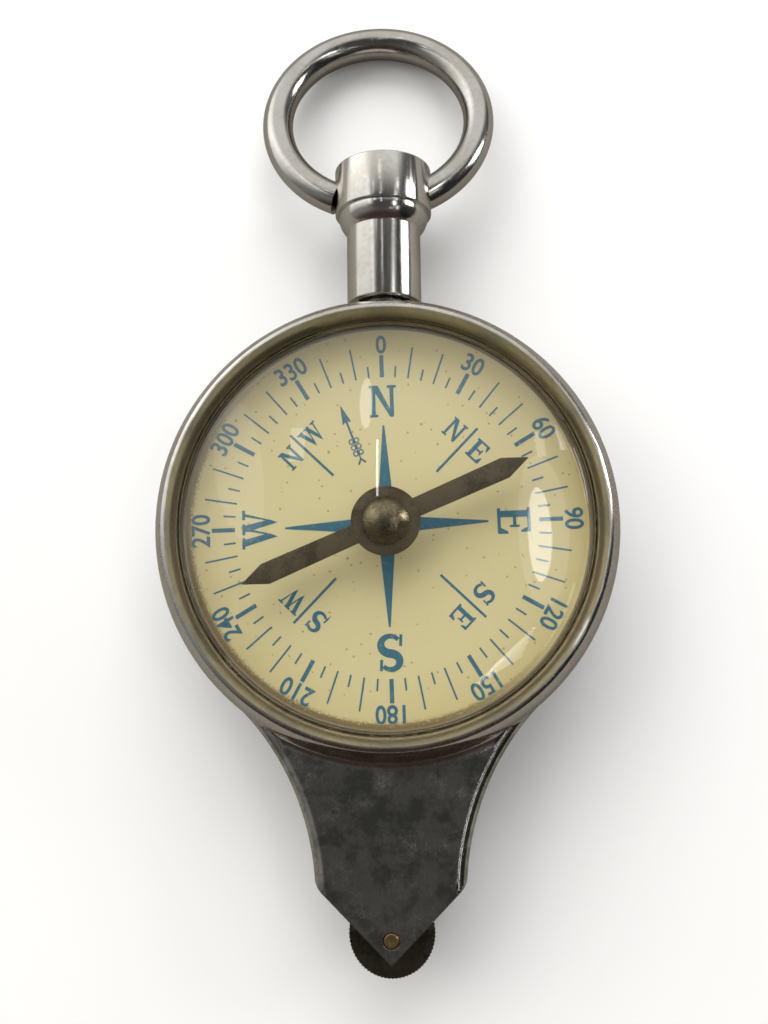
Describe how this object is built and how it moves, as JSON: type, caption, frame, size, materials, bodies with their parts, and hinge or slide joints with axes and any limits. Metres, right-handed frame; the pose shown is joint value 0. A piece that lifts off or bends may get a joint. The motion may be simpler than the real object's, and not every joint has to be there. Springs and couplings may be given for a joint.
{
  "type": "opisometer map measurer",
  "caption": "Pocket map measurer with a compass face in front, a measuring dial behind, a tracing wheel in a forked tail and a swinging suspension ring.",
  "frame": {"origin": "on the dial axis, in the plane of the rear rim that the case lies on", "axes": "+Z out of the compass face, +Y from the dial axis towards the neck and suspension ring, +X to the right of the compass face"},
  "size_m": [0.044, 0.0972, 0.0131],
  "materials": {
    "nickel_shell": "old bright nickel plate, pitted and scratched",
    "nickel_neck": "old bright nickel plate, drawn lines",
    "nickel_ring": "old bright nickel plate on wire",
    "crystal": "clear crystal",
    "retainer_brass": "brown toned brass",
    "plate_brass": "matt brass",
    "card_paper": "aged cream printed card",
    "dark_steel": "dark brown patina on steel",
    "blued_steel": "blued steel",
    "bright_steel": "turned steel",
    "cap_brass": "greenish worn brass",
    "pin_brass": "yellow brass pin"
  },
  "bodies": {
    "case": {"front_shell": "nickel_shell", "rear_shell": "nickel_shell", "front_glass": "crystal", "rear_glass": "crystal", "front_retainer": "retainer_brass", "rear_retainer": "retainer_brass", "compass_dial_plate": "plate_brass", "compass_card": "card_paper", "measuring_dial_plate": "plate_brass", "measuring_card": "card_paper", "compass_pivot": "bright_steel", "wheel_pin": "pin_brass", "front_plate": "plate_brass", "rear_plate": "plate_brass", "plate_pillars": "plate_brass", "plate_rivets": "bright_steel", "neck": "nickel_neck", "neck_collar": "nickel_neck", "neck_screw": "bright_steel"},
    "ring": {"suspension_ring": "nickel_ring"},
    "needle": {"compass_needle": "dark_steel", "needle_cap": "cap_brass"},
    "tracing": {"tracing_wheel": "dark_steel", "tracing_pinion": "bright_steel"},
    "first": {"first_wheel": "plate_brass", "first_arbor": "bright_steel"},
    "second": {"second_wheel": "plate_brass", "second_arbor": "bright_steel"},
    "third": {"third_wheel": "plate_brass", "third_arbor": "bright_steel"},
    "hand": {"centre_wheel": "plate_brass", "centre_arbor": "bright_steel", "measuring_hand": "blued_steel"}
  },
  "joints": [
    {"name": "ring_swing", "type": "hinge", "parent": "case", "child": "ring", "pos_m": [0, 0.0345, 0.0057], "axis": [1, 0, 0], "range_deg": [-131, 155]},
    {"name": "needle_spin", "type": "hinge", "parent": "case", "child": "needle", "pos_m": [0, 0, 0.0057], "axis": [0, 0, 1], "continuous": true},
    {"name": "tracing_spin", "type": "hinge", "parent": "case", "child": "tracing", "pos_m": [0, -0.03755, 0.0057], "axis": [0, 0, 1], "continuous": true},
    {"name": "first_spin", "type": "hinge", "parent": "case", "child": "first", "pos_m": [0, -0.0313, 0.0057], "axis": [0, 0, 1], "continuous": true},
    {"name": "second_spin", "type": "hinge", "parent": "case", "child": "second", "pos_m": [0, -0.02395, 0.0057], "axis": [0, 0, 1], "continuous": true},
    {"name": "third_spin", "type": "hinge", "parent": "case", "child": "third", "pos_m": [0, -0.01555, 0.0057], "axis": [0, 0, 1], "continuous": true},
    {"name": "hand_spin", "type": "hinge", "parent": "case", "child": "hand", "pos_m": [0, 0, 0.0057], "axis": [0, 0, 1], "continuous": true}
  ],
  "couplings": [
    {"joint": "first_spin", "follows": "tracing_spin", "ratio": -0.25},
    {"joint": "second_spin", "follows": "tracing_spin", "ratio": 0.1},
    {"joint": "third_spin", "follows": "tracing_spin", "ratio": -0.05},
    {"joint": "hand_spin", "follows": "tracing_spin", "ratio": 0.025}
  ]
}
